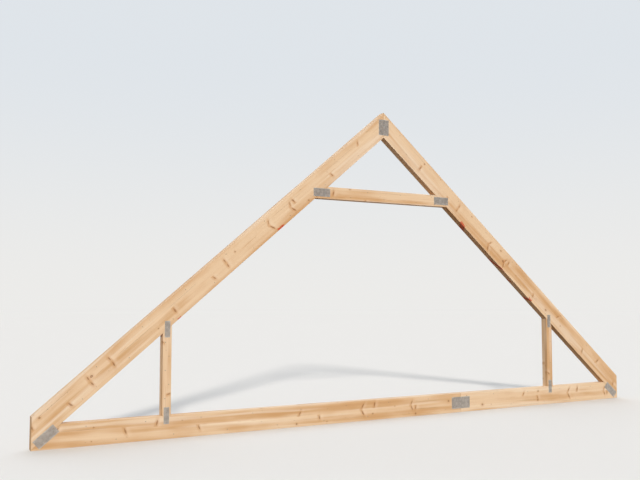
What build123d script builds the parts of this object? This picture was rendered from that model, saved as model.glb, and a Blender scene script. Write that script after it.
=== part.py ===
from build123d import *
import os
from math import cos, radians, tan

# Room-in-roof truss of two plies, the repeated frame of a house roof. Each ply is a flat frame
# of sawn softwood: two rafters, a floor chord spliced from two boards, two ashlar posts and a
# ceiling tie. Punched steel nail plates on both faces of a ply hold every joint, and the two
# plies stand side by side with their inner plates in contact.
#
# X runs along the span, Y through the thickness and Z up. The origin is at the middle of the
# floor chord's underside.

# Overall form
span = 8400
pitch = 40
heel_butt = 10
room_width = 5550
ceiling_height = 2455
splice_offset = 1200

# Timber sections
timber_thickness = 47
rafter_depth = 245
chord_depth = 245
ashlar_depth = 97
tie_depth = 147
arris_radius = 2

# Nail plates, each as width and height in its own joint's direction
plate_thickness = 1.2
ridge_plate_width = 150
ridge_plate_height = 200
tie_plate_width = 230
tie_plate_height = 100
post_plate_width = 60
post_plate_height = 176
heel_plate_width = 250
heel_plate_height = 100
splice_plate_width = 300
splice_plate_height = 150

# Levels and places that follow from the sizes above
half_span = span / 2
slope = tan(radians(pitch))
rafter_plumb_depth = rafter_depth / cos(radians(pitch))
tie_underside = chord_depth + ceiling_height
tie_top = tie_underside + tie_depth
ashlar_inner = room_width / 2
ashlar_outer = ashlar_inner + ashlar_depth


def rafter_underside(x):
    """Height of the rafters' lower face at a distance from the middle of the span."""
    return heel_butt + (half_span - abs(x)) * slope


def rafter_reach(z):
    """Distance from the middle of the span at which the rafters' lower face has this height."""
    return half_span - (z - heel_butt) / slope


def board(outline, plane, grain):
    """One sawn board: its side outline in the truss plane, with the arrises along the grain eased."""
    with BuildPart() as timber:
        with BuildSketch(plane):
            with BuildLine():
                Polyline(*outline, close=True)
            make_face()
        extrude(amount=timber_thickness)
        fillet(timber.edges().filter_by(grain), radius=arris_radius)
    return timber.part


def rafter(side, plane):
    """Sloping top member, cut plumb at the ridge and at the heel."""
    outline = [
        (0, rafter_underside(0)),
        (0, rafter_underside(0) + rafter_plumb_depth),
        (side * half_span, heel_butt + rafter_plumb_depth),
        (side * half_span, heel_butt),
    ]
    return board(outline, plane, Axis((0, 0, 0), (1, 0, -side * slope)))


def ashlar(side, plane):
    """Short post between the floor chord and the rafter, bevelled to the pitch at its head."""
    outline = [
        (side * ashlar_inner, chord_depth),
        (side * ashlar_outer, chord_depth),
        (side * ashlar_outer, rafter_underside(ashlar_outer)),
        (side * ashlar_inner, rafter_underside(ashlar_inner)),
    ]
    return board(outline, plane, Axis.Z)


def ceiling_tie(plane):
    """Level member over the room, its ends bevelled to the rafters' lower faces."""
    outline = [
        (-rafter_reach(tie_underside), tie_underside),
        (rafter_reach(tie_underside), tie_underside),
        (rafter_reach(tie_top), tie_top),
        (-rafter_reach(tie_top), tie_top),
    ]
    return board(outline, plane, Axis.X)


def chord_board(heel_side, splice_x, plane):
    """Floor chord from the splice to one heel, where the rafter lies on its scarfed end."""
    outline = [
        (splice_x, 0),
        (heel_side * half_span, 0),
        (heel_side * half_span, heel_butt),
        (heel_side * rafter_reach(chord_depth), chord_depth),
        (splice_x, chord_depth),
    ]
    return board(outline, plane, Axis.X)


def nail_plate(joint, plane):
    """Steel plate pressed onto one face of a joint, centred on the meeting line of the timbers."""
    x, z, width, height, turn = joint
    with BuildPart() as plate:
        with BuildSketch(plane):
            with Locations((x, z)):
                Rectangle(width, height, rotation=turn)
        extrude(amount=plate_thickness)
    return plate.part


def write(piece, label):
    piece.label = label
    export_step(piece, f"parts/{label}.step")


# Each joint's plate: place in the truss plane, size and turn. The heel plates lie along the
# rafter, half on it and half on the scarfed chord. The others stand square to the members.
heel_joint_x = (half_span + rafter_reach(chord_depth)) / 2
heel_joint_z = (heel_butt + chord_depth) / 2
tie_joint_x = (rafter_reach(tie_underside) + rafter_reach(tie_top)) / 2
tie_joint_z = (tie_underside + tie_top) / 2
ashlar_middle = (ashlar_inner + ashlar_outer) / 2
ridge_joint_z = rafter_underside(0) + rafter_plumb_depth / 2 - slope * ridge_plate_width / 4


def joints_of(splice_x):
    """Every plated joint of one ply by name."""
    joints = {
        "ridge": (0, ridge_joint_z, ridge_plate_width, ridge_plate_height, 0),
        "splice": (splice_x, chord_depth / 2, splice_plate_width, splice_plate_height, 0),
    }
    for side, hand in ((-1, "left"), (1, "right")):
        joints[f"tie_{hand}"] = (
            side * tie_joint_x, tie_joint_z, tie_plate_width, tie_plate_height, 0)
        joints[f"knee_{hand}"] = (
            side * ashlar_middle, rafter_underside(ashlar_middle),
            post_plate_width, post_plate_height, 0)
        joints[f"foot_{hand}"] = (
            side * ashlar_middle, chord_depth, post_plate_width, post_plate_height, 0)
        joints[f"heel_{hand}"] = (
            side * heel_joint_x, heel_joint_z, heel_plate_width, heel_plate_height,
            -side * pitch)
    return joints


# The front ply lies on the -Y side of the middle and the back ply on the +Y side. The back ply
# is turned round, so that its long chord board spans the front ply's splice. A plane's offset
# runs towards -Y, and so does every extrusion.
front_face = plate_thickness + timber_thickness
plies = {
    "front": {
        "splice_side": 1,
        "timber": plate_thickness,
        "outer": front_face,
        "inner": 0,
    },
    "back": {
        "splice_side": -1,
        "timber": -front_face,
        "outer": -front_face - plate_thickness,
        "inner": -plate_thickness,
    },
}

os.makedirs("parts", exist_ok=True)

for ply, place in plies.items():
    timber_plane = Plane.XZ.offset(place["timber"])
    splice_side = place["splice_side"]
    splice_x = splice_side * splice_offset

    for side, hand in ((-1, "left"), (1, "right")):
        write(rafter(side, timber_plane), f"{ply}_rafter_{hand}")
        write(ashlar(side, timber_plane), f"{ply}_ashlar_{hand}")
    write(ceiling_tie(timber_plane), f"{ply}_ceiling_tie")
    write(chord_board(-splice_side, splice_x, timber_plane), f"{ply}_chord_long")
    write(chord_board(splice_side, splice_x, timber_plane), f"{ply}_chord_short")

    for name, joint in joints_of(splice_x).items():
        for face in ("outer", "inner"):
            plate_plane = Plane.XZ.offset(place[face])
            write(nail_plate(joint, plate_plane), f"{ply}_{face}_plate_{name}")
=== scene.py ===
from math import cos, floor, pi, radians, sin

import bmesh
import bpy
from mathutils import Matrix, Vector


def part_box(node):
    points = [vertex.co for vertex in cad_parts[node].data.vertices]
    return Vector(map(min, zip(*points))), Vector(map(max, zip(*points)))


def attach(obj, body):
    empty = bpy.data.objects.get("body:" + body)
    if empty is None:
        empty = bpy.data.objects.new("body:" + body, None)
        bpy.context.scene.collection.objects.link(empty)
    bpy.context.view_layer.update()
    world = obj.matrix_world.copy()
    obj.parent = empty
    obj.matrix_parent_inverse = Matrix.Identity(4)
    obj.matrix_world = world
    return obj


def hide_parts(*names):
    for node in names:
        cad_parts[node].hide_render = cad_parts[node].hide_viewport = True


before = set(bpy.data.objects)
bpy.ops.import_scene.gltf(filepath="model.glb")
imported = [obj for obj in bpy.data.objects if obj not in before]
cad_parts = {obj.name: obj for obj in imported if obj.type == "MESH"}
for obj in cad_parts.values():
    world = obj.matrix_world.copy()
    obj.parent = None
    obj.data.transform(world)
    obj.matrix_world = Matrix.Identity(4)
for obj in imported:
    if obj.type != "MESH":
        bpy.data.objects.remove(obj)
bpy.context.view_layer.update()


# Camera. It stands at eye height, looks 30 degrees to the right of the truss's face and a little up,
# and is far enough back to take in the whole truss.
eye = Vector((-5.65, -8.35, 1.52))
turned_right = radians(29.6)
tilted_up = radians(4.04)
focal_pixels = 795
frame_pixels = 640

camera_data = bpy.data.cameras.new("camera")
camera_data.sensor_width = 36
camera_data.lens = camera_data.sensor_width * focal_pixels / frame_pixels
camera_data.clip_end = 300
camera = bpy.data.objects.new("camera", camera_data)
camera.location = eye
camera.rotation_euler = (pi / 2 + tilted_up, 0, -turned_right)
bpy.context.scene.collection.objects.link(camera)
bpy.context.scene.camera = camera


# Rafters. Each slope is a pair of planed softwood boards, one in each ply: pale cream with orange
# bands, rings that bend round the knots, fine drying checks and eased arrises. They are cut plumb at
# the ridge and the heels, and red crayon and paint marks cross their lower edges.
rafter_pitch = radians(40)
lower_edge = -0.1225
sapwood = (0.84, 0.635, 0.43, 1)
heartwood = (0.65, 0.385, 0.185, 1)
pale_wood = (0.91, 0.77, 0.61, 1)
latewood = (0.47, 0.235, 0.09, 1)
knot_stain = (0.60, 0.315, 0.135, 1)
knot_wood = (0.34, 0.145, 0.055, 1)
knot_rim = (0.115, 0.042, 0.016, 1)
check_shadow = (0.13, 0.060, 0.025, 1)
# Arrises: paler partly from wear and partly as a painted highlight.
arris_wear_and_highlight = (0.88, 0.72, 0.58, 1)
end_grain = (0.64, 0.41, 0.21, 1)
# Crushed wood under the plates, darkened further as painted shade for the shadowed slots.
crushed_and_slot_shade_wood = (0.16, 0.085, 0.040, 1)
marker_red = (0.56, 0.045, 0.010, 1)
ring_width = 0.0036
pith_radius = 0.004
whorl_gap = 0.40
leaf_width = 0.0095
leaf_shortest = 0.022
leaf_growth = 0.058
knot_smallest = 0.0035
knot_growth = 0.012
knot_cell = (0.55, 0.12)
pin_radius = 0.0030
pin_cell = (0.22, 0.08)
check_half_width = 0.0011
check_cell = (0.85, 0.085)
seam_half_width = 0.0019
narrow_shift = 0.31
relief_depth = 0.0003
crush_and_shade_fade = 0.002
mark_fade = 0.004
heel_plate_size = (0.250, 0.100)
plate_turns = {
    "ridge": 0, "splice": 0, "tie_left": 0, "tie_right": 0, "knee_left": 0, "knee_right": 0,
    "foot_left": 0, "foot_right": 0, "heel_left": -rafter_pitch, "heel_right": rafter_pitch}


class Sock:
    """A node socket that works in Python sums. A sum on values adds its Math nodes."""

    def __init__(self, tree, socket=None):
        self.tree = tree
        self.socket = socket

    def node(self, kind, settings=None, inputs=None):
        """Any other node: its settings first, then the values or links of its sockets."""
        made = self.tree.nodes.new(kind)
        for name, value in (settings or {}).items():
            setattr(made, name, value)
        for name, value in (inputs or {}).items():
            if isinstance(value, Sock):
                self.tree.links.new(value.socket, made.inputs[name])
            else:
                made.inputs[name].default_value = value
        shown = [out for out in made.outputs if out.enabled]
        return Sock(self.tree, shown[0] if shown else None)

    def out(self, name):
        """Another output of the same node."""
        return Sock(self.tree, self.socket.node.outputs[name])

    def maths(self, operation, *others):
        """This value and any others through one Math node."""
        return self.node(
            "ShaderNodeMath", {"operation": operation}, dict(enumerate((self, *others))))

    def __add__(self, other):
        return self.maths("ADD", other)

    def __sub__(self, other):
        return self.maths("SUBTRACT", other)

    def __mul__(self, other):
        return self.maths("MULTIPLY", other)

    def __truediv__(self, other):
        return self.maths("DIVIDE", other)

    def __pow__(self, other):
        return self.maths("POWER", other)

    def __mod__(self, other):
        return self.maths("FLOORED_MODULO", other)

    def __rsub__(self, other):
        return self.node("ShaderNodeMath", {"operation": "SUBTRACT"}, {0: other, 1: self})

    def __abs__(self):
        return self.maths("ABSOLUTE")

    __radd__ = __add__
    __rmul__ = __mul__

    def step(self, low, high):
        """0 at low and 1 at high, smooth between and level beyond; low may be the larger."""
        return self.node(
            "ShaderNodeMapRange",
            {"interpolation_type": "SMOOTHSTEP"},
            {"Value": self, "From Min": low, "From Max": high})

    def vector(self, x, y, z):
        """A vector of three values."""
        return self.node("ShaderNodeCombineXYZ", None, {"X": x, "Y": y, "Z": z})

    def parts(self):
        """The three values of this vector."""
        split = self.node("ShaderNodeSeparateXYZ", None, {"Vector": self})
        return split, split.out("Y"), split.out("Z")

    def noise(self, scale, detail=2.0, roughness=0.5):
        """Noise at this place, from 0 to 1."""
        return self.node("ShaderNodeTexNoise", None, {
            "Vector": self, "Scale": scale, "Detail": detail, "Roughness": roughness})

    def blend(self, low, high):
        """Colour low at 0 and high at 1. A Mix node's colour sockets have only numbers."""
        mix = self.node(
            "ShaderNodeMix", {"data_type": "RGBA"}, {"Factor": self, 6: low, 7: high})
        return mix.out(2)


def cell_points(base, u, v, cell, seed):
    """One random point in each cell of a grid on the board's face.

    Gives the distance from the nearest point along and across the board, and three random values.
    """
    length, width = cell
    cells = base.vector(u / length + seed, v / width + seed * 1.7, 0)
    nearest = base.node(
        "ShaderNodeTexVoronoi", {"voronoi_dimensions": "2D", "feature": "F1"},
        {"Vector": cells, "Scale": 1.0, "Randomness": 0.9})
    here_x, here_y, _ = cells.parts()
    point_x, point_y, _ = nearest.out("Position").parts()
    chance = nearest.out("Color").parts()
    return (here_x - point_x) * length, (here_y - point_y) * width, chance


def knot_whorls(base, u, side_v, wobble, seed):
    """Branch whorls cut lengthways: leaf-shaped knots that fan out from the pith in pairs.

    Gives the leaves, their dark rims, the bent grain round them and the pale wedge beside them.
    """
    cells = u / whorl_gap + seed
    nearest = base.node(
        "ShaderNodeTexVoronoi", {"voronoi_dimensions": "1D", "feature": "F1"},
        {"W": cells, "Scale": 1.0, "Randomness": 1.0})
    along = (cells - nearest.out("W")) * whorl_gap
    lean, upper, lower = nearest.out("Color").parts()
    height = abs(side_v)
    above = side_v.step(-0.0005, 0.0005)
    size = above * upper + (1 - above) * lower
    there = size.step(0.45, 0.48)
    drift = along - height * (0.75 * lean - 0.15)
    part = (height - pith_radius) / (leaf_shortest + leaf_growth * size)
    profile = part.step(0.0, 0.55) * part.step(1.0, 0.6)
    reach = abs(drift) / (leaf_width * size * profile + 0.0004) + (wobble - 0.5) * 0.5
    leaf = reach.step(1.1, 0.85) * profile.step(0.02, 0.15) * there
    rim = reach.step(0.55, 0.9) * leaf
    streaks = base.vector(drift * 420, height * 28, seed).noise(1.0, 2.0)
    leaf = leaf * (0.42 + 0.62 * streaks)
    near = (abs(drift + 0.004) / 0.034).step(1.0, 0.1) * part.step(1.7, 0.5) * there
    wedge = drift.step(0.004, 0.018) * drift.step(0.080, 0.020) * part.step(1.7, 0.2)
    wedge = wedge * part.step(-0.4, 0.3) * there
    return leaf, rim, near, wedge


def plate_rectangle(ply, joint):
    """An outer nail plate's middle, width, height and turn in the truss plane.

    A turned plate is smaller than its box, so its own size is given.
    """
    low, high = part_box(f"{ply}_outer_plate_{joint}")
    turn = plate_turns[joint]
    wide, tall = heel_plate_size if turn else (high.x - low.x, high.z - low.z)
    return (low + high) / 2, wide, tall, turn


def plates_on(node):
    """The outer nail plates that reach over one board."""
    ply = node.split("_")[0]
    low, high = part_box(node)
    found = []
    for joint in plate_turns:
        plate_low, plate_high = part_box(f"{ply}_outer_plate_{joint}")
        if all(low[axis] < plate_high[axis] and plate_low[axis] < high[axis] for axis in (0, 2)):
            found.append(plate_rectangle(ply, joint))
    return found


def blank_material(name):
    """A new material with an empty node tree, and a Sock that adds nodes to it."""
    material = bpy.data.materials.new(name)
    material.use_nodes = True
    material.node_tree.nodes.clear()
    return material, Sock(material.node_tree)


def softwood(name, centre, turn, seed, warmth, cuts, plates, marks):
    """Planed softwood whose grain runs along a board turned about Y, centred on the board."""
    material, base = blank_material(name)
    place = base.node("ShaderNodeTexCoord")
    on_board = base.node(
        "ShaderNodeMapping", {"vector_type": "TEXTURE"},
        {"Vector": place.out("Object"), "Location": centre, "Rotation": (0, turn, 0)})
    facing = base.node(
        "ShaderNodeMapping", {"vector_type": "TEXTURE"},
        {"Vector": place.out("Normal"), "Rotation": (0, turn, 0)})
    u, w, v = on_board.parts()
    x, _, z = place.out("Object").parts()
    face_u, face_w, face_v = facing.parts()

    # The pith wanders along the board, and the whorls of knots stand on it.
    wander = base.vector(u * 0.5 + seed * 3.1, seed, 0).noise(1.0, 1.0) - 0.5
    pith_v = wander * 0.15 + sin(seed * 5.3) * 0.025
    wobble = base.vector(u * 60, w * 20, v * 60 + seed).noise(1.0, 2.0)
    leaf, leaf_rim, leaf_near, wedge = knot_whorls(base, u, v - pith_v, wobble, seed)

    # Round knots of every size, ringed with dark bark. On the narrow faces the distance across is
    # measured through the board instead, and shifted to other knots than the broad faces have.
    narrow = abs(face_v).step(0.60, 0.80)
    side = v * (1 - narrow) + (w + narrow_shift) * narrow
    along, across, chance = cell_points(base, u, side, knot_cell, seed)
    knot_size = knot_smallest + knot_growth * chance[0] ** 2
    knot_span = ((along / 1.3) ** 2 + across ** 2) ** 0.5 / knot_size + (wobble - 0.5) * 0.6
    knot_there = chance[1].step(0.47, 0.50)
    knot = knot_span.step(1.08, 0.9) * knot_there
    crescent = (along / knot_size + chance[2] * 3 - 1.5).step(-1.4, 0.6)
    knot_ring = knot_span.step(0.62, 0.88) * knot * (0.35 + 0.65 * crescent)
    knot_near = knot_span.step(3.6, 0.9) * knot_there

    # Rings: cylinders round the pith, pushed aside by each knot.
    ripple = base.vector(u * 3.0 + seed, v * 9, w * 9).noise(1.0, 2.0) - 0.5
    pith_w = -0.055 - 0.03 * sin(seed * 2.9)
    from_pith = ((v - pith_v) ** 2 + (w - pith_w) ** 2) ** 0.5
    growth = base.vector(from_pith * 32 + seed, seed, 0).noise(1.0, 1.0) - 0.5
    pushed = from_pith + growth * 0.016 + ripple * 0.008 + knot_near * 0.006 + leaf_near * 0.008
    years = pushed / ring_width
    ring = years % 1.0
    season = base.node(
        "ShaderNodeTexWhiteNoise", {"noise_dimensions": "1D"}, {"W": years.maths("FLOOR")})
    late = ring.step(0.35, 0.86) * ring.step(1.0, 0.9) * (0.45 + 0.75 * season)

    # Colour: broad bands along the board, then rings, fibres and knots.
    band = base.vector(u * 0.30 + seed, w * 5, v * 8.5 + seed).noise(1.0, 2.0, 0.55)
    white_band = base.vector(u * 0.42 + seed * 2, w * 5, v * 11 - seed).noise(1.0, 2.0, 0.55)
    cloud = base.vector(u * 2.2, w * 5, v * 7 + seed * 2).noise(1.0, 2.0)
    thread = base.vector(u * 1.6, w * 70, v * 70 + seed).noise(1.0, 2.0, 0.6)
    fibre = base.vector(u * 14, w * 700, v * 700 + seed).noise(1.0, 2.0, 0.7)
    orange = (band + (cloud - 0.5) * 0.35 + (warmth - 0.55)).step(0.36, 0.68)
    colour = orange.blend(sapwood, heartwood)
    colour = (white_band.step(0.50, 0.66) * 0.65).blend(colour, pale_wood)
    colour = (late * (0.14 + 0.30 * cloud)).blend(colour, latewood)
    colour = (thread.step(0.52, 0.78) * 0.30).blend(colour, heartwood)
    colour = ((fibre - 0.5) * 0.30).step(0.0, 0.4).blend(colour, latewood)
    colour = (wedge * (0.05 + 0.35 * cloud)).blend(colour, pale_wood)
    colour = (knot_near * 0.32 + leaf_near * 0.58).blend(colour, knot_stain)
    colour = (knot * (0.35 + 0.5 * fibre) + leaf * 0.85).blend(colour, knot_wood)
    colour = (knot_ring * 0.85 + leaf_rim * 0.70).blend(colour, knot_rim)

    # Long drying checks and pin knots.
    check_along, check_across, check_chance = cell_points(base, u, side, check_cell, seed + 9.2)
    check = abs(check_across + ripple * 0.010).step(check_half_width, 0.0003)
    check = check * abs(check_along).step(0.30, 0.12) * check_chance[0].step(0.66, 0.70)
    pin_along, pin_across, pin_chance = cell_points(base, u, side, pin_cell, seed + 2.6)
    pin = ((pin_along / 1.4) ** 2 + pin_across ** 2) ** 0.5
    pin = pin.step(pin_radius, 0.0014) * pin_chance[0].step(0.74, 0.77)
    dark_lines = (check * 0.75).maths("MAXIMUM", pin * 0.8)
    colour = dark_lines.blend(colour, check_shadow)

    # The eased arrises are paler, partly wear and partly a painted highlight; the sawn ends show their
    # rings on darker wood, and a dark seam runs along every cut.
    arris = (abs(face_v) * abs(face_w)).step(0.12, 0.45)
    colour = (arris * 0.50).blend(colour, arris_wear_and_highlight)
    sawn_end = abs(face_u).step(0.5, 0.6)
    end_rings = (0.12 + 0.55 * late).blend(end_grain, latewood)
    colour = (sawn_end * 0.80).blend(colour, end_rings)
    for cut_x, cut_z, cut_reach in cuts:
        seam = abs(x * cut_x + z * cut_z - cut_reach).step(seam_half_width, 0.0005)
        colour = (seam * 0.65).blend(colour, check_shadow)

    # Under a nail plate the wood is crushed round the teeth, and painted shade darkens the slots.
    broad = abs(face_w).step(0.80, 0.95)
    for middle, wide, tall, plate_turn in plates:
        from_x, from_z = x - middle.x, z - middle.z
        sideways, up = from_x, from_z
        if plate_turn:
            sideways = from_x * cos(plate_turn) - from_z * sin(plate_turn)
            up = from_x * sin(plate_turn) + from_z * cos(plate_turn)
        within_width = abs(sideways).step(wide / 2, wide / 2 - crush_and_shade_fade)
        within_height = abs(up).step(tall / 2, tall / 2 - crush_and_shade_fade)
        under = within_width * within_height * broad
        colour = (under * 0.72).blend(colour, crushed_and_slot_shade_wood)

    # Red marks across the lower edge: a smear on the underside that laps onto the face.
    depth = w + centre[1]
    for mark_u, length, slant, lap, nearest_y, farthest_y in marks:
        rag = (base.vector(u * 24, w * 55, v * 30 + mark_u).noise(1.0, 4.0, 0.65) - 0.5) * 1.7
        spread = abs(u - mark_u - depth * slant) / (length / 2) + rag
        height = (v - lower_edge) / lap + rag
        stroke = spread.step(1.0, 0.60) * height.step(1.0, 0.5)
        stroke = stroke * depth.step(nearest_y - mark_fade, nearest_y)
        stroke = stroke * depth.step(farthest_y + mark_fade, farthest_y)
        worn = base.vector(u * 160, w * 160, v * 160).noise(1.0, 2.0).step(0.3, 0.5)
        colour = (stroke * (0.45 + 0.4 * worn)).blend(colour, marker_red)

    relief = late * 0.40 + fibre * 0.18 - dark_lines * 3.5 - knot_ring * 1.4 - leaf_rim * 0.7
    bump = base.node("ShaderNodeBump", None, {
        "Strength": 0.35, "Distance": relief_depth, "Height": relief})
    finish = base.node("ShaderNodeBsdfPrincipled", None, {
        "Base Color": colour,
        "Roughness": 0.56 + 0.16 * fibre - 0.10 * knot,
        "Specular IOR Level": 0.20,
        "Normal": bump,
    })
    base.node("ShaderNodeOutputMaterial", None, {"Surface": finish})
    return material


def dress_board(node, turn, seed, warmth, cuts, marks=()):
    """Gives one board its own softwood, so that no two boards share their knots.

    Each cut is the plane of a sawn end: its normal along X and Z, and its distance from the origin.
    """
    low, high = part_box(node)
    finish = softwood(
        f"{node}_softwood", (low + high) / 2, turn, seed, warmth, cuts, plates_on(node), marks)
    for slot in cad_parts[node].material_slots:
        slot.material = finish


# Each mark: place along the rafter from its middle, length, slant across the plies, lap onto the
# face, and the first and last depth through the truss.
right_marks = [
    (-0.95, 0.120, 0.8, 0.036, -0.060, 0.060),
    (-0.20, 0.130, -2.2, 0.005, -0.060, 0.060),
    (0.18, 0.060, -1.2, 0.003, 0.004, 0.060),
    (0.55, 0.085, -0.5, 0.034, -0.060, 0.060),
]
left_marks = [
    (0.70, 0.110, -0.9, 0.030, -0.060, 0.060),
    (-0.85, 0.060, 0.4, 0.014, -0.060, -0.004),
]
ridge_cut = (1, 0, 0)
dress_board("front_rafter_left", -rafter_pitch, 1.3, 0.50, [ridge_cut], left_marks)
dress_board("back_rafter_left", -rafter_pitch, 2.9, 0.62, [ridge_cut], left_marks)
dress_board("front_rafter_right", rafter_pitch, 4.1, 0.55, [ridge_cut], right_marks)
dress_board("back_rafter_right", rafter_pitch, 5.7, 0.48, [ridge_cut], right_marks)

# Everything below the rafters is cut to their lower faces.
rafter_low, rafter_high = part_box("front_rafter_right")
slope_reach = rafter_low.z * cos(rafter_pitch) + rafter_high.x * sin(rafter_pitch)
right_slope = (sin(rafter_pitch), cos(rafter_pitch), slope_reach)
left_slope = (-sin(rafter_pitch), cos(rafter_pitch), slope_reach)


# Ashlar posts. Short boards of narrow section stand between the floor chord and each rafter and
# carry the room's side walls. Their grain runs upright and their heads are cut to the pitch.
upright = -pi / 2
foot_cut = (0, 1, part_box("front_ashlar_left")[0].z)
dress_board("front_ashlar_left", upright, 6.2, 0.58, [left_slope, foot_cut])
dress_board("front_ashlar_right", upright, 7.7, 0.66, [right_slope, foot_cut])
dress_board("back_ashlar_left", upright, 8.3, 0.52, [left_slope, foot_cut])
dress_board("back_ashlar_right", upright, 9.9, 0.60, [right_slope, foot_cut])


# Ceiling tie. One level board in each ply, bevelled at both ends, holds the rafters together over
# the room.
level = 0
dress_board("front_ceiling_tie", level, 11.4, 0.54, [left_slope, right_slope])
dress_board("back_ceiling_tie", level, 12.6, 0.60, [left_slope, right_slope])


# Floor chord. Two boards in each ply meet end to end under a large plate, and the second ply is
# turned round so that the joints don't line up.
front_splice = (1, 0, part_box("front_chord_short")[0].x)
back_splice = (1, 0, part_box("back_chord_long")[0].x)
dress_board("front_chord_long", level, 13.1, 0.57, [left_slope, front_splice])
dress_board("front_chord_short", level, 14.8, 0.46, [right_slope, front_splice])
dress_board("back_chord_long", level, 15.2, 0.52, [right_slope, back_splice])
dress_board("back_chord_short", level, 16.5, 0.63, [left_slope, back_splice])


# Nail plates. Galvanised steel sheet whose teeth are punched out in staggered rows, which leaves a
# slot for each pair, pressed into both faces of every joint until the sheet lies flat on the wood.
column_pitch = 0.00635
row_pitch = 0.0127
slot_width = 0.0026
slot_length = 0.0084
bare_columns = 0.3
bare_rows = 0.1
weld_distance = 0.00001
zinc_light = (0.60, 0.578, 0.548, 1)
zinc_dark = (0.38, 0.367, 0.350, 1)
white_rust = (0.62, 0.62, 0.61, 1)


def galvanised():
    """Zinc coated sheet: faint spangle, dull patches and a little white bloom."""
    material, base = blank_material("galvanised_sheet")
    place = base.node("ShaderNodeTexCoord").out("Object")
    spangle = base.node(
        "ShaderNodeTexVoronoi", {"feature": "F1"}, {"Vector": place, "Scale": 160.0})
    flake, _, _ = spangle.out("Color").parts()
    patch = place.noise(26.0, 3.0).step(0.34, 0.66)
    bloom = place.noise(55.0, 4.0, 0.65).step(0.56, 0.72)
    colour = (flake * 0.4 + patch * 0.6).blend(zinc_dark, zinc_light)
    colour = (bloom * 0.4).blend(colour, white_rust)
    finish = base.node("ShaderNodeBsdfPrincipled", None, {
        "Base Color": colour,
        "Metallic": 0.65,
        "Roughness": 0.36 + 0.12 * flake + 0.2 * bloom,
    })
    base.node("ShaderNodeOutputMaterial", None, {"Surface": finish})
    return material


def named_inputs(tree, kinds):
    """Adds a tree's inputs and gives the identifiers by which a modifier knows them."""
    identifiers = {}
    for name, kind in kinds:
        item = tree.interface.new_socket(name, in_out="INPUT", socket_type=f"NodeSocket{kind}")
        identifiers[name] = item.identifier
    return identifiers


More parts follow.
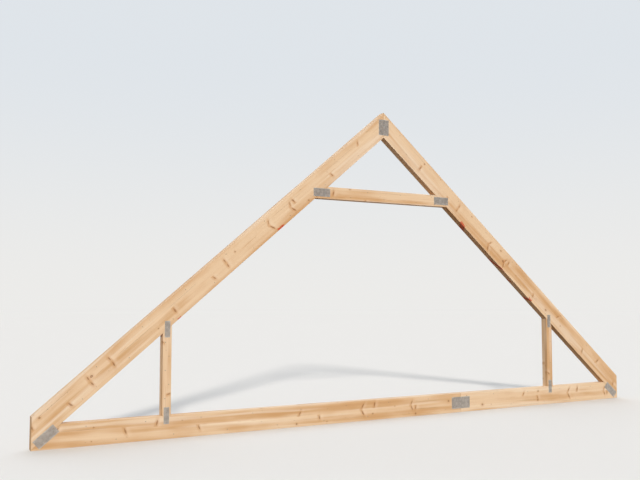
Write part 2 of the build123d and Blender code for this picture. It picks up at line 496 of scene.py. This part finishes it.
def punched_sheet_tree(finish):
    """Geometry Nodes tree of one nail plate, punched in staggered columns of long slots."""
    tree = bpy.data.node_groups.new("punched_sheet", "GeometryNodeTree")
    inputs = named_inputs(tree, (
        ("Width", "Float"), ("Height", "Float"), ("Thickness", "Float"),
        ("Columns", "Int"), ("Rows", "Int"), ("Column Pitch", "Float"), ("Row Pitch", "Float"),
        ("Slot Width", "Float"), ("Slot Length", "Float"),
        ("Centre", "Vector"), ("Turn", "Vector")))
    tree.interface.new_socket("Geometry", in_out="OUTPUT", socket_type="NodeSocketGeometry")

    base = Sock(tree)
    given = base.node("NodeGroupInput")
    width, height, thickness = given.out("Width"), given.out("Height"), given.out("Thickness")
    columns, rows = given.out("Columns"), given.out("Rows")
    across_pitch, up_pitch = given.out("Column Pitch"), given.out("Row Pitch")
    slot_w, slot_l = given.out("Slot Width"), given.out("Slot Length")

    # Grid lines stand at the sheet's edges and at the slots' sides and ends: two lines to a column
    # and four to a row, because the second columns' slots end elsewhere.
    lines_x = columns * 2 + 2
    lines_y = rows * 4 + 2
    sheet = base.node("GeometryNodeMeshGrid", None, {
        "Size X": 1.0, "Size Y": 1.0, "Vertices X": lines_x, "Vertices Y": lines_y})
    number = base.node("GeometryNodeInputIndex")
    line_x = (number / lines_y).maths("FLOOR")
    line_y = number % lines_y

    inner_x = line_x - 1
    column = (inner_x / 2).maths("FLOOR")
    start_x = (columns - 1) * across_pitch * -0.5 - slot_w * 0.5
    slot_x = start_x + column * across_pitch + (inner_x % 2) * slot_w
    is_left = line_x.maths("LESS_THAN", 0.5)
    is_right = line_x.maths("GREATER_THAN", lines_x - 1.5)
    between_x = 1 - is_left - is_right
    x = slot_x * between_x + width * 0.5 * (is_right - is_left)

    inner_y = line_y - 1
    period = (inner_y / 4).maths("FLOOR")
    quarter = inner_y % 4
    at_second = quarter.maths("COMPARE", 1, 0.1)
    at_third = quarter.maths("COMPARE", 2, 0.1)
    at_fourth = quarter.maths("COMPARE", 3, 0.1)
    start_y = ((rows - 1) * up_pitch + slot_l) * -0.5
    slot_y = start_y + period * up_pitch + at_second * (slot_l - up_pitch * 0.5)
    slot_y = slot_y + at_third * up_pitch * 0.5 + at_fourth * slot_l
    is_low = line_y.maths("LESS_THAN", 0.5)
    is_high = line_y.maths("GREATER_THAN", lines_y - 1.5)
    between_y = 1 - is_low - is_high
    y = slot_y * between_y + height * 0.5 * (is_high - is_low)
    placed = base.node("GeometryNodeSetPosition", None, {
        "Geometry": sheet, "Position": base.vector(x, y, 0)})

    # The faces inside a slot are taken out. Every second column starts half a pitch higher.
    faces_y = lines_y - 1
    cell_x = (number / faces_y).maths("FLOOR")
    cell_y = number % faces_y - 1
    in_column = cell_x % 2
    second = ((cell_x - 1) / 2) % 2
    second = second.maths("GREATER_THAN", 0.75)
    inside = cell_y.maths("GREATER_THAN", -0.5)
    inside = inside * cell_y.maths("LESS_THAN", rows * 4 - 1.5)
    first_slot = 1 - (cell_y % 4).maths("COMPARE", 3, 0.1)
    second_slot = 1 - (cell_y % 4).maths("COMPARE", 1, 0.1)
    second_slot = second_slot * cell_y.maths("GREATER_THAN", 1.5)
    second_slot = second_slot * cell_y.maths("LESS_THAN", rows * 4 - 3.5)
    punched = in_column * inside * (first_slot * (1 - second) + second_slot * second)
    holed = base.node("GeometryNodeDeleteGeometry", {"domain": "FACE"}, {
        "Geometry": placed, "Selection": punched.maths("GREATER_THAN", 0.5)})

    raised = base.node("GeometryNodeExtrudeMesh", {"mode": "FACES"}, {
        "Mesh": holed, "Offset": (0, 0, 1), "Offset Scale": thickness, "Individual": False})
    underside = base.node("GeometryNodeFlipFaces", None, {"Mesh": holed})
    both = base.node("GeometryNodeJoinGeometry")
    joined = both.socket.node
    for part in (raised, underside):
        tree.links.new(part.socket, joined.inputs[0])
    closed = base.node("GeometryNodeMergeByDistance", None, {
        "Geometry": both, "Distance": weld_distance})
    moved = base.node("GeometryNodeTransform", None, {
        "Geometry": closed, "Translation": given.out("Centre"), "Rotation": given.out("Turn")})
    real = base.node("GeometryNodeRealizeInstances", None, {"Geometry": moved})
    coated = base.node("GeometryNodeSetMaterial", None, {"Geometry": real, "Material": finish})
    base.node("NodeGroupOutput", None, {"Geometry": coated})
    return tree, inputs


def plain_mesh(name, tree, values, points=()):
    """Runs a Geometry Nodes tree with these inputs and keeps its result as a plain mesh."""
    points_mesh = bpy.data.meshes.new(f"{name}_points")
    points_mesh.from_pydata(points, [], [])
    holder = bpy.data.objects.new(name, points_mesh)
    bpy.context.scene.collection.objects.link(holder)
    modifier = holder.modifiers.new("shape", "NODES")
    modifier.node_group = tree
    for identifier, value in values.items():
        modifier[identifier] = value
    evaluated = holder.evaluated_get(bpy.context.evaluated_depsgraph_get())
    mesh = bpy.data.meshes.new_from_object(evaluated)
    holder.modifiers.clear()
    holder.data = mesh
    bpy.data.meshes.remove(points_mesh)
    return holder


zinc = galvanised()
sheet_tree, sheet_inputs = punched_sheet_tree(zinc)


def punch_plate(ply, joint, outward):
    """A punched sheet in the place of one plain plate.

    It has as many columns and rows as leave the bare edge. Outward is -1 in front and 1 behind.
    """
    node = f"{ply}_outer_plate_{joint}"
    middle, wide, tall, turn = plate_rectangle(ply, joint)
    low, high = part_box(node)
    thick = high.y - low.y
    piece = plain_mesh(f"{node}_punched", sheet_tree, {
        sheet_inputs["Width"]: wide,
        sheet_inputs["Height"]: tall,
        sheet_inputs["Thickness"]: thick,
        sheet_inputs["Columns"]: floor(wide / column_pitch - bare_columns),
        sheet_inputs["Rows"]: floor(tall / row_pitch - bare_rows),
        sheet_inputs["Column Pitch"]: column_pitch,
        sheet_inputs["Row Pitch"]: row_pitch,
        sheet_inputs["Slot Width"]: slot_width,
        sheet_inputs["Slot Length"]: slot_length,
        sheet_inputs["Centre"]: (middle.x, middle.y - outward * thick / 2, middle.z),
        sheet_inputs["Turn"]: (-outward * pi / 2, turn, 0),
    })
    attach(piece, "root")
    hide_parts(node)


for joint in plate_turns:
    for ply, outward in (("front", -1), ("back", 1)):
        punch_plate(ply, joint, outward)
        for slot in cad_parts[f"{ply}_inner_plate_{joint}"].material_slots:
            slot.material = zinc


# Nails. Round-headed steel wire nails, driven from both faces in two staggered rows along every
# board, hold the two plies together. Their heads sit just proud of the wood and have dulled.
head_radius = 0.0042
head_thickness = 0.0012
head_sunk = 0.0003
head_sides = 16
head_taper = 0.82
head_seed = 7
nail_tilt = 0.03
dull_steel = (0.20, 0.185, 0.17, 1)
rusted_steel = (0.17, 0.085, 0.04, 1)


def nail_steel():
    """Bare steel dulled by handling, with a breath of rust."""
    material, base = blank_material("nail_steel")
    place = base.node("ShaderNodeTexCoord").out("Object")
    rust = place.noise(260.0, 3.0, 0.6).step(0.45, 0.70)
    finish = base.node("ShaderNodeBsdfPrincipled", None, {
        "Base Color": (rust * 0.7).blend(dull_steel, rusted_steel),
        "Metallic": 0.8 - 0.5 * rust,
        "Roughness": 0.38 + 0.35 * rust,
    })
    base.node("ShaderNodeOutputMaterial", None, {"Surface": finish})
    return material


def nail_head_tree(finish):
    """Geometry Nodes tree that sets one nail head on every point, each a little askew."""
    tree = bpy.data.node_groups.new("nail_heads", "GeometryNodeTree")
    tree.interface.new_socket("Geometry", in_out="INPUT", socket_type="NodeSocketGeometry")
    inputs = named_inputs(tree, (
        ("Head Radius", "Float"), ("Head Thickness", "Float"), ("Sides", "Int"),
        ("Tilt", "Float"), ("Facing", "Float"), ("Seed", "Int")))
    tree.interface.new_socket("Geometry", in_out="OUTPUT", socket_type="NodeSocketGeometry")

    base = Sock(tree)
    given = base.node("NodeGroupInput")
    radius, tilt = given.out("Head Radius"), given.out("Tilt")
    head = base.node("GeometryNodeMeshCone", {"fill_type": "NGON"}, {
        "Vertices": given.out("Sides"), "Radius Top": radius * head_taper, "Radius Bottom": radius,
        "Depth": given.out("Head Thickness")})
    # A Random Value node's sockets for single numbers are 2 and 3, and its output is 1.
    askew = []
    for number in range(3):
        chance = base.node("FunctionNodeRandomValue", {"data_type": "FLOAT"}, {
            2: tilt * -1, 3: tilt, "ID": base.node("GeometryNodeInputIndex"),
            "Seed": given.out("Seed") + number})
        askew.append(chance.out(1))
    turned = base.vector(given.out("Facing") + askew[0], askew[1], askew[2])
    heads = base.node("GeometryNodeInstanceOnPoints", None, {
        "Points": given.out("Geometry"), "Instance": head, "Rotation": turned})
    real = base.node("GeometryNodeRealizeInstances", None, {"Geometry": heads})
    coated = base.node("GeometryNodeSetMaterial", None, {"Geometry": real, "Material": finish})
    base.node("NodeGroupOutput", None, {"Geometry": coated})
    return tree, inputs


# Each run of nails: board, turn, half the run's length, gap along it, and the rows' distance from
# the board's middle. A nail that would land on a plate is left out.
nail_runs = (
    ("rafter_left", -rafter_pitch, 2.48, 0.31, 0.078),
    ("rafter_right", rafter_pitch, 2.48, 0.31, 0.078),
    ("ashlar_left", upright, 0.30, 0.15, 0.020),
    ("ashlar_right", upright, 0.30, 0.15, 0.020),
    ("ceiling_tie", level, 0.75, 0.25, 0.038),
    ("chord_long", level, 2.17, 0.31, 0.078),
    ("chord_short", level, 0.93, 0.31, 0.078),
)
plate_margin = 0.012


def clear_of_plates(ply, x, z):
    """Whether a nail at this place misses every outer plate of its ply."""
    for joint in plate_turns:
        low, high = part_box(f"{ply}_outer_plate_{joint}")
        if (low.x - plate_margin < x < high.x + plate_margin
                and low.z - plate_margin < z < high.z + plate_margin):
            return False
    return True


head_tree, head_inputs = nail_head_tree(nail_steel())
for ply, outward in (("front", -1), ("back", 1)):
    nail_points = []
    for board, turn, half_run, gap, row in nail_runs:
        low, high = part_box(f"{ply}_{board}")
        middle = (low + high) / 2
        face_y = low.y if outward < 0 else high.y
        for number in range(2 * round(half_run / gap) + 1):
            along = number * gap - half_run
            across = row * outward * (1 if number % 2 else -1)
            x = middle.x + along * cos(turn) + across * sin(turn)
            z = middle.z - along * sin(turn) + across * cos(turn)
            if clear_of_plates(ply, x, z):
                nail_points.append((x, face_y - outward * head_sunk, z))
    nails = plain_mesh(f"{ply}_nail_heads", head_tree, {
        head_inputs["Head Radius"]: head_radius,
        head_inputs["Head Thickness"]: head_thickness,
        head_inputs["Sides"]: head_sides,
        head_inputs["Tilt"]: nail_tilt,
        head_inputs["Facing"]: -outward * pi / 2,
        head_inputs["Seed"]: head_seed,
    }, nail_points)
    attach(nails, "root")


# Floor, backdrop and light. A pale level floor runs out to a plain pale backdrop and takes its tone. A
# warm lamp like the sun stands behind the camera's left side, with a weak fill from behind the truss
# and soft light all round, cooler from above and browner from below.
floor_tone = (0.80, 0.785, 0.76, 1)
far_floor = (0.84, 0.834, 0.817, 1)
pale_air = (0.74, 0.78, 0.82, 1)
light_from_above = (0.84, 0.89, 0.96, 1)
light_from_below = (0.50, 0.33, 0.19, 1)
stage_radius = 90
floor_overlap = 1.02
haze_start = 18
haze_end = 75
dome_depth = 9
air_height = 0.35
soft_light_strength = 0.42


def stage_piece(name, shape, finish):
    """A piece of the floor or backdrop from its mesh. It is no part of the truss."""
    mesh = bpy.data.meshes.new(name)
    shape.to_mesh(mesh)
    shape.free()
    mesh.materials.append(finish)
    piece = bpy.data.objects.new(name, mesh)
    bpy.context.scene.collection.objects.link(piece)
    return piece


floor_finish, base = blank_material("pale_floor")
floor_finish.cycles.emission_sampling = "NONE"
floor_x, floor_y, _ = base.node("ShaderNodeTexCoord").out("Object").parts()
far_off = ((floor_x ** 2 + floor_y ** 2) ** 0.5).step(haze_start, haze_end)
matt_floor = base.node("ShaderNodeBsdfPrincipled", None, {
    "Base Color": floor_tone, "Roughness": 0.9, "Specular IOR Level": 0.0})
haze = base.node("ShaderNodeEmission", None, {"Color": far_floor, "Strength": 1.0})
hazy_floor = base.node("ShaderNodeMixShader", None, {0: far_off, 1: matt_floor, 2: haze})
base.node("ShaderNodeOutputMaterial", None, {"Surface": hazy_floor})
disc = bmesh.new()
bmesh.ops.create_circle(disc, cap_ends=True, segments=64, radius=stage_radius * floor_overlap)
floor_piece = stage_piece("floor", disc, floor_finish)
# The soft light from below takes the place of what the floor would throw back.
floor_piece.visible_diffuse = False

air_finish, base = blank_material("pale_backdrop")
_, _, rise = base.node("ShaderNodeTexCoord").out("Object").parts()
glow = base.node("ShaderNodeEmission", None, {
    "Color": (rise / stage_radius).step(0.0, air_height).blend(far_floor, pale_air),
    "Strength": 1.0})
base.node("ShaderNodeOutputMaterial", None, {"Surface": glow})
dome = bmesh.new()
bmesh.ops.create_uvsphere(dome, u_segments=64, v_segments=32, radius=stage_radius)
below = [corner for corner in dome.verts if corner.co.z < -dome_depth]
bmesh.ops.delete(dome, geom=below, context="VERTS")
bmesh.ops.reverse_faces(dome, faces=dome.faces)
backdrop = stage_piece("backdrop", dome, air_finish)
for kind in ("diffuse", "glossy", "transmission", "shadow"):
    setattr(backdrop, f"visible_{kind}", False)


def distant_lamp(name, strength, spread, colour, origin):
    """A lamp far off on the side that origin points to, as many degrees wide as its spread."""
    lamp_data = bpy.data.lights.new(name, "SUN")
    lamp_data.energy = strength
    lamp_data.angle = radians(spread)
    lamp_data.color = colour
    lamp = bpy.data.objects.new(name, lamp_data)
    lamp.rotation_mode = "QUATERNION"
    lamp.rotation_quaternion = Vector(origin).to_track_quat("Z", "Y")
    bpy.context.scene.collection.objects.link(lamp)


distant_lamp("sun", 2.75, 7, (1.0, 0.955, 0.89), (-0.33, -0.84, 0.45))
distant_lamp("fill", 1.5, 70, (0.95, 0.97, 1.0), (0.30, 0.66, 0.68))

world = bpy.data.worlds.new("studio")
world.use_nodes = True
world.node_tree.nodes.clear()
base = Sock(world.node_tree)
_, _, upward = base.node("ShaderNodeTexCoord").out("Generated").parts()
soft_light = base.node("ShaderNodeBackground", None, {
    "Color": upward.step(-0.25, 0.25).blend(light_from_below, light_from_above),
    "Strength": soft_light_strength})
base.node("ShaderNodeOutputWorld", None, {"Surface": soft_light})
bpy.context.scene.world = world
bpy.context.scene.view_settings.view_transform = "Standard"
